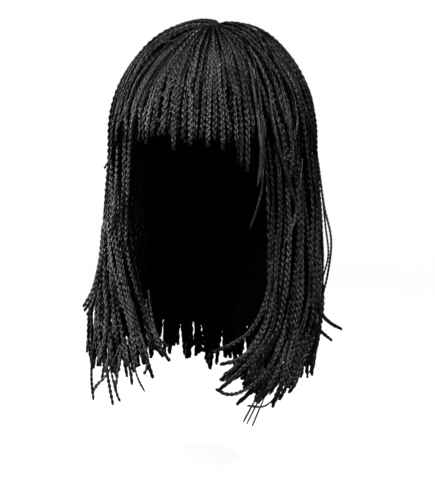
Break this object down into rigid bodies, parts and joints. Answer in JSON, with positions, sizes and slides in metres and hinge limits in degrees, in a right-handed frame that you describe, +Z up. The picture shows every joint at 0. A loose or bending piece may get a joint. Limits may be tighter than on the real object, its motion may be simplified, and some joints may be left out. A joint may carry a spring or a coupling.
{
  "type": "braid wig",
  "caption": "Shoulder-length black braid wig with a brow fringe: thin plaited braids leave a short parting on a stretch cap, and the hollow below is open for the head.",
  "frame": {"origin": "the point inside the cap's crown that rests on the top of the head", "axes": "+Z up, -Y the way the wearer faces, +X the wearer's left"},
  "size_m": [0.2325, 0.2303, 0.3729],
  "materials": {
    "braided_hair": "black synthetic fibre with a satin sheen, plaited",
    "cap_fabric": "matt black stretch mesh"
  },
  "bodies": {
    "root": {"cap": "cap_fabric", "fringe_1": "braided_hair", "fringe_2": "braided_hair", "fringe_3": "braided_hair", "fringe_4": "braided_hair", "braids_left_1": "braided_hair", "braids_left_2": "braided_hair", "braids_left_3": "braided_hair", "braids_left_4": "braided_hair", "braids_left_5": "braided_hair", "braids_left_6": "braided_hair", "braids_right_1": "braided_hair", "braids_right_2": "braided_hair", "braids_right_3": "braided_hair", "braids_right_4": "braided_hair", "braids_right_5": "braided_hair", "braids_right_6": "braided_hair"}
  },
  "joints": []
}
